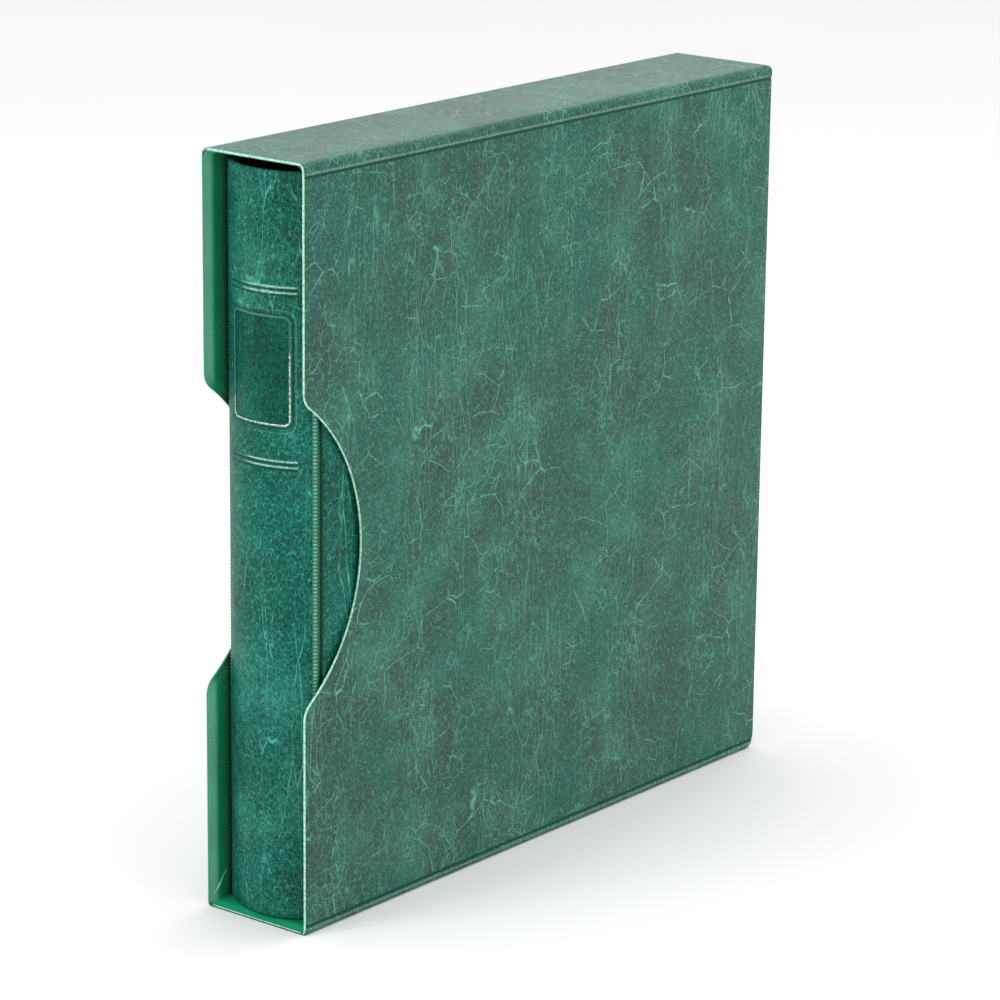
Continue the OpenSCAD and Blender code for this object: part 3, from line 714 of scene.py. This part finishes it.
def lining_wall(wall, offset):
    """Points of one wall of the lining section, each with half of the corners at its ends.

    Every offset gives the same number of points, so that the rows join up.
    """
    x, floor, roof, top_r, floor_r = lining_loop(offset)
    q = math.pi / 4
    across = 18
    if wall in ("left", "right"):
        sign = 1 if wall == "right" else -1
        points = corner_arc(x - floor_r, floor + floor_r, floor_r, -q, 0)
        levels = steps(8, FINE_LOW, 3.0) + steps(FINE_LOW, FINE_HIGH, 1.0)[1:]
        levels += steps(FINE_HIGH, 316, 3.0)[1:]
        points += [(x, z) for z in levels]
        points += corner_arc(x - top_r, roof - top_r, top_r, 0, q)
        return [(sign * px, pz) for px, pz in points]
    if wall == "top":
        points = corner_arc(x - top_r, roof - top_r, top_r, q, 2 * q)
        points += [(px, roof) for px in np.linspace(x - top_r, top_r - x, across)[1:-1]]
        return points + corner_arc(top_r - x, roof - top_r, top_r, 2 * q, 3 * q)
    points = corner_arc(x - floor_r, floor + floor_r, floor_r, -q, -2 * q)
    points += [(px, floor) for px in np.linspace(x - floor_r, floor_r - x, across)[1:-1]]
    return points + corner_arc(floor_r - x, floor + floor_r, floor_r, -2 * q, -3 * q)


def case_linings():
    """Four lining walls, flared out to the lip at the mouth and cut back at the thumb cuts."""
    offsets = [0.45, 0.8, 1.2, 1.8, 2.4, 3.0, 3.6, 4.2, 4.8, 6.0, 8.0, 11.0] + steps(15, 310, 5.0)
    for wall in ("left", "right", "top", "floor"):
        rows = []
        for offset in offsets:
            row = []
            for px, pz in lining_wall(wall, offset):
                y = MOUTH + offset
                if wall in ("left", "right"):
                    front = thumb_edge(pz)
                    share = 1 - smooth_step(60, 120, offset)
                    stretch = 1 + (1 / abs(edge_normal(pz)[0]) - 1) * (1 - smooth_step(4, 14, offset))
                    y = MOUTH + front * share + offset * stretch
                sag = 0.12 * noise.noise(Vector((px * 0.01, y * 0.03, pz * 0.02)))
                row.append((px + (sag if wall in ("left", "right") else 0), min(y, INNER_BACK), pz))
            rows.append(row)
        flip = wall in ("left", "floor")
        # Left, right and top walls take painted reflection at the mouth and painted shade deeper in; the
        # floor takes the floor lining's painted shade.
        material = MATERIALS["floor_lining" if wall == "floor" else "wall_lining"]
        grid_piece(f"case_{wall}_lining_vinyl", rows, material, "slipcase", "case_lining",
                   [f"case_{wall}_lining"], thickness=0.2, flip=flip)


# ---------------------------------------------------------------- album

def ridge(distance, width):
    """Height from 0 to 1 of a rounded line at a distance from its middle."""
    return math.exp(-(distance / (width / 2)) ** 2)


def rounded_distance(x, z, half_w, low, high, radius):
    """Signed distance from a rounded rectangle in the front view, negative inside."""
    cz, half_h = (low + high) / 2, (high - low) / 2
    dx = abs(x) - half_w + radius
    dz = abs(z - cz) - half_h + radius
    return math.hypot(max(dx, 0), max(dz, 0)) + min(max(dx, dz), 0) - radius


def spine_relief(x, z):
    """Height of the embossing above the plain spine, and its mark: 1 for a painted highlight on a ridge, -1
    for painted shade in a groove.
    """
    away = rounded_distance(x, z, LABEL_HALF, LABEL_LOW[2], LABEL_HIGH[2], 3.0)
    height = -LABEL_SINK * (1 - smooth_step(-1.2, 0.2, away))
    outer = rounded_distance(x, z, LABEL_HALF + 1.7, LABEL_LOW[2] - 2.6, LABEL_HIGH[2] + 2.2, 4.5)
    # Painted highlight on the ridges only towards +x, where light falls on them; it fades out between x = 2
    # and x = -14.
    rubbed_and_painted_light = smooth_step(-14.0, 2.0, x)
    ridge_marks = 0.36 * ridge(outer, 0.7) * rubbed_and_painted_light
    groove_marks = 0.5 * ridge(outer + 0.8, 0.6) + 0.9 * ridge(away - 0.5, 0.7)
    height += 0.1 * ridge(outer, 0.9) - 0.1 * ridge(outer + 0.8, 0.7)
    fade = 1 - smooth_step(LINE_HALF - 0.6, LINE_HALF + 0.4, abs(x))
    for line in DOUBLE_LINES:
        height += fade * 0.22 * ridge(z - line, 1.0)
        ridge_marks += fade * rubbed_and_painted_light * ridge(z - line, 0.8)
    for line in GROOVES:
        height -= fade * 0.18 * ridge(z - line, 0.9)
        groove_marks += fade * ridge(z - line, 0.8)
    return height, ridge_marks - groove_marks


def on_spine(angle, radius):
    """Point of the spine's arc in plan, as (x, y)."""
    return radius * math.sin(angle), SPINE_CENTRE - radius * math.cos(angle)


def spine_leather():
    """Embossed leather of the spine, turned in over the ends of its board."""
    angles = np.linspace(-HINGE_ANGLE, HINGE_ANGLE, 121)
    fine_low, fine_high = 190.0, 278.0
    levels = steps(ALBUM_BASE + 1, fine_low, 3.0) + steps(fine_low, fine_high, 0.35)[1:]
    levels += steps(fine_high, ALBUM_TOP - 1, 3.0)[1:]
    rows, marks = [], []

    def turned_in(insets):
        for inset, z in insets:
            rows.append([(*on_spine(a, SPINE_R - inset), z) for a in angles])
            marks.append([0.0] * len(angles))

    turned_in(((2.3, ALBUM_BASE + 0.3), (1.6, ALBUM_BASE + 0.05), (0.9, ALBUM_BASE),
               (0.3, ALBUM_BASE + 0.3)))
    for z in levels:
        row, row_marks = [], []
        for a in angles:
            x = SPINE_R * math.sin(a)
            swell = 0.05 * noise.noise(Vector((x * 0.1, 0, z * 0.03)))
            height, mark = spine_relief(x, z)
            row.append((*on_spine(a, SPINE_R + SPINE_RISE + height + swell), z))
            row_marks.append(mark)
        rows.append(row)
        marks.append(row_marks)
    turned_in(((0.3, ALBUM_TOP - 0.3), (0.9, ALBUM_TOP), (1.6, ALBUM_TOP - 0.05),
               (2.3, ALBUM_TOP - 0.3)))
    grid_piece("spine_leather", rows, MATERIALS["spine_leather"], "album", "album_leatherette",
               ["spine_skin"], thickness=0.1, relief=marks)


def hinge_section(sign, rib):
    """Plan of the welded hinge: a ribbed bead, then a groove down to the cover, and their marks of painted
    highlight and shade.
    """
    points, marks = [], []
    for t in np.linspace(0, 1, 9):
        a = HINGE_ANGLE + t * (BEAD_ANGLE - HINGE_ANGLE)
        swell = math.sin(math.pi * t)
        points.append(on_spine(a, SPINE_R + SPINE_RISE + (0.15 + 0.32 * rib) * swell))
        # Painted highlight on the crests of the ribs on the bead.
        marks.append(-0.5 + (0.3 + 1.1 * rib) * swell)
    start = points[-1]
    end = (COVER_HIGH[0] - 0.5, COVER_LOW[1] + 0.3)
    for t in np.linspace(0, 1, 7)[1:]:
        sink = math.sin(math.pi * t)
        points.append((start[0] + t * (end[0] - start[0]) - 0.5 * sink,
                       start[1] + t * (end[1] - start[1]) + 0.5 * sink))
        # Painted shade down the groove to the cover.
        marks.append(-1.0 * sink)
    return [(sign * px, py) for px, py in points], marks


def hinges():
    """The two welded hinge strips between spine and covers."""
    for name, sign in (("front_hinge", 1), ("rear_hinge", -1)):
        rows, marks = [], []
        for z in steps(ALBUM_BASE + 0.2, ALBUM_TOP - 0.2, HINGE_RIB_PITCH / 6):
            rib = 0.5 + 0.5 * math.cos(2 * math.pi * z / HINGE_RIB_PITCH)
            section, section_marks = hinge_section(sign, rib)
            rows.append([(px, py, z) for px, py in section])
            marks.append(section_marks)
        grid_piece(f"{name}_weld", rows, MATERIALS["bead"], "album", "hinge_vinyl", [name],
                   thickness=0.6, flip=sign < 0, relief=marks)


def cover_outline(inset):
    """Rounded outline of a cover in the side view, as (y, z) points, moved in by inset."""
    low_y, high_y = COVER_LOW[1] + inset, COVER_HIGH[1] - inset
    low_z, high_z = ALBUM_BASE + inset, ALBUM_TOP - inset
    big, small = COVER_CORNER_R - inset, max(COVER_SPINE_R - inset, 0.2)
    points = []
    for cy, cz, r, start in ((high_y, high_z, big, 0), (low_y, high_z, small, 1),
                             (low_y, low_z, small, 2), (high_y, low_z, big, 3)):
        cy += -r if cy == high_y else r
        cz += -r if cz == high_z else r
        for a in np.linspace(start * math.pi / 2, (start + 1) * math.pi / 2, 9):
            points.append((cy + r * math.cos(a), cz + r * math.sin(a)))
    return points


def cover(name, sign):
    """Leather tray of one cover: rounded edges round a flat outer face, turned in over the board."""
    outer_x, inner_x = COVER_HIGH[0], COVER_LOW[0]
    rows = [[(sign * inner_x, y, z) for y, z in cover_outline(TURN_IN)]]
    for a in np.linspace(-math.pi / 2, math.pi / 2, 11):
        x = (outer_x + inner_x) / 2 + (outer_x - inner_x) / 2 * math.sin(a)
        rows.append([(sign * x, y, z) for y, z in cover_outline(COVER_EDGE_R * (1 - math.cos(a)))])
    for inset in (1.6, 2.6):
        rows.append([(sign * outer_x, y, z) for y, z in cover_outline(inset)])
    count = len(rows[0])
    verts = [p for row in rows for p in row]
    faces = grid_faces(len(rows), count, closed_columns=True)
    last = (len(rows) - 1) * count
    faces.append(tuple(range(last, last + count)))
    faces.append(tuple(reversed(range(count))))
    if sign < 0:
        faces = [tuple(reversed(f)) for f in faces]
    make_piece(f"{name}_leather", verts, faces, MATERIALS["spine_leather"], "album",
               [f"{name}_skin"])


def foil_and_painted_highlight_left(x, z):
    """How much pale foil is left on the label's edge: most low down and on the front half, where the rim is
    lit, so it is partly foil and partly a painted highlight.
    """
    start = 249.0 if x > 0 else 226.0
    return float(0.12 + 0.88 * (1 - smooth_step(start - 5, start, z)))


def label_outline(inset, radius, spacing):
    """Close points round the label, moved in from its edge, as (x, z, and the outward direction)."""
    half_w = LABEL_HALF - inset
    low, high = LABEL_LOW[2] + inset, LABEL_HIGH[2] - inset
    corners = []
    for cx, cz, start in ((half_w - radius, high - radius, 0), (radius - half_w, high - radius, 1),
                          (radius - half_w, low + radius, 2), (half_w - radius, low + radius, 3)):
        for a in np.linspace(start * math.pi / 2, (start + 1) * math.pi / 2, 9):
            corners.append((cx + radius * math.cos(a), cz + radius * math.sin(a),
                            math.cos(a), math.sin(a)))
    dense = []
    for first, second in zip(corners, corners[1:] + corners[:1]):
        gap = math.hypot(second[0] - first[0], second[1] - first[1])
        count = max(int(gap / spacing), 1)
        for i in range(count):
            t = i / count
            dense.append(tuple(f + t * (s - f) for f, s in zip(first, second)))
    return dense


def label():
    """Film in the sunk field of the spine and the foil line round it."""
    margin, spacing = 0.8, 0.8
    rows = []
    for z in steps(LABEL_LOW[2] + margin, LABEL_HIGH[2] - margin, spacing):
        row = []
        for x in np.linspace(-LABEL_HALF + margin, LABEL_HALF - margin, 41):
            a = math.asin(x / SPINE_R)
            row.append((*on_spine(a, SPINE_R + SPINE_RISE - LABEL_SINK + 0.04), z))
        rows.append(row)
    grid_piece("label_film", rows, MATERIALS["label"], "album", "label_film", ["label_panel"],
               thickness=0.05)
    path, across, out = [], [], []
    outline = label_outline(0.6, 2.5, spacing)
    for x, z, nx, nz in outline:
        a = math.asin(x / SPINE_R)
        path.append((*on_spine(a, SPINE_R + SPINE_RISE - 0.16), z))
        across.append((nx * math.cos(a), nx * math.sin(a), nz))
        out.append((math.sin(a), -math.cos(a), 0))
    # Foil kept where the rim catches light: partly foil, partly painted highlight.
    left = np.array([foil_and_painted_highlight_left(x, z) for x, z, nx, nz in outline])
    ripple = [1 + 0.25 * noise.noise(Vector(p) * 0.6) for p in path]
    foil = swept_tube("label_foil_line", path, across, out, [0.42 * v for v in ripple],
                      [0.2 * v for v in ripple], MATERIALS["foil"], "album", "label_foil", relief=left)
    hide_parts("label_frame")


# ---------------------------------------------------------------- finishes of the CAD pieces

def paint(nodes, material):
    """Give CAD nodes a material. Their meshes stay as they are."""
    for name in nodes:
        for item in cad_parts[name].material_slots:
            item.material = material


def paint_cad():
    names = list(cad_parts)
    paint([n for n in names if n.endswith("_board")], MATERIALS["board"])
    # The back lining, deep inside the case, gets the darkest band of the floor lining's painted shade.
    paint(["case_back_lining"], MATERIALS["floor_lining"])
    paint(["spine_lining", "front_cover_lining", "rear_cover_lining"], MATERIALS["album_lining"])
    paint(["ring_housing", "rings_left", "rings_right", "lever_upper", "lever_lower"],
          MATERIALS["nickel"])
    paint(["blade_left", "blade_right", "housing_rivets", "lever_pins"], MATERIALS["steel"])
    paint(["album_leaves"], MATERIALS["paper"])
    paint(["stamp_mounts"], MATERIALS["film"])


# ---------------------------------------------------------------- floor, light and camera

def studio():
    """White surroundings and a pale floor."""
    world = bpy.data.worlds.new("studio")
    world.use_nodes = True
    world.node_tree.nodes["Background"].inputs["Color"].default_value = (1, 1, 1, 1)
    world.node_tree.nodes["Background"].inputs["Strength"].default_value = 1.0
    bpy.context.scene.world = world
    size = 6.0
    floor = bpy.data.meshes.new("floor")
    floor.from_pydata([(-size, -size, 0), (size, -size, 0), (size, size, 0), (-size, size, 0)], [],
                      [(0, 1, 2, 3)])
    piece = bpy.data.objects.new("floor", floor)
    bpy.context.scene.collection.objects.link(piece)
    n = Nodes("pale_floor")
    tone = n.mix(n.noise(n.coords(), 400, 2.0)[0], (0.86, 0.86, 0.86, 1), (0.9, 0.9, 0.9, 1))
    floor.materials.append(n.finish(Base_Color=tone, Roughness=0.9))


def area_light(name, place, target, size, power):
    data = bpy.data.lights.new(name, "AREA")
    data.shape = "DISK"
    data.size = size
    data.energy = power
    light = bpy.data.objects.new(name, data)
    light.location = place
    light.rotation_mode = "QUATERNION"
    light.rotation_quaternion = (Vector(target) - Vector(place)).to_track_quat("-Z", "Y")
    bpy.context.scene.collection.objects.link(light)


def lights():
    middle = (0, 0, 0.16)
    area_light("key_front_left", (-0.55, -1.6, 1.25), middle, 0.9, 12)
    area_light("fill_right", (1.9, -0.3, 0.9), middle, 1.4, 4)
    area_light("top_back", (0.1, 0.7, 1.7), middle, 1.1, 7.5)


def camera():
    """Camera at the photo's angle."""
    data = bpy.data.cameras.new("camera")
    data.sensor_width = 36.0
    data.lens = CAMERA_LENS
    view = bpy.data.objects.new("camera", data)
    yaw, pitch, roll = (math.radians(v) for v in CAMERA_TURN)
    forward = Vector((math.sin(yaw) * math.cos(pitch), math.cos(yaw) * math.cos(pitch),
                      -math.sin(pitch)))
    right = forward.cross(Vector((0, 0, 1))).normalized()
    up = right.cross(forward)
    turned_right = right * math.cos(roll) + up * math.sin(roll)
    turned_up = up * math.cos(roll) - right * math.sin(roll)
    axes = Matrix((turned_right, turned_up, -forward)).transposed()
    view.matrix_world = Matrix.Translation(Vector(CAMERA_PLACE) * MM) @ axes.to_4x4()
    bpy.context.scene.collection.objects.link(view)
    bpy.context.scene.camera = view


case_wall_sheet()
case_strips()
case_lip()
case_seams()
case_linings()
lining_gussets()
spine_leather()
hinges()
cover("front_cover", 1)
cover("rear_cover", -1)
label()
paint_cad()
studio()
lights()
camera()
bpy.context.scene.view_settings.view_transform = "Standard"
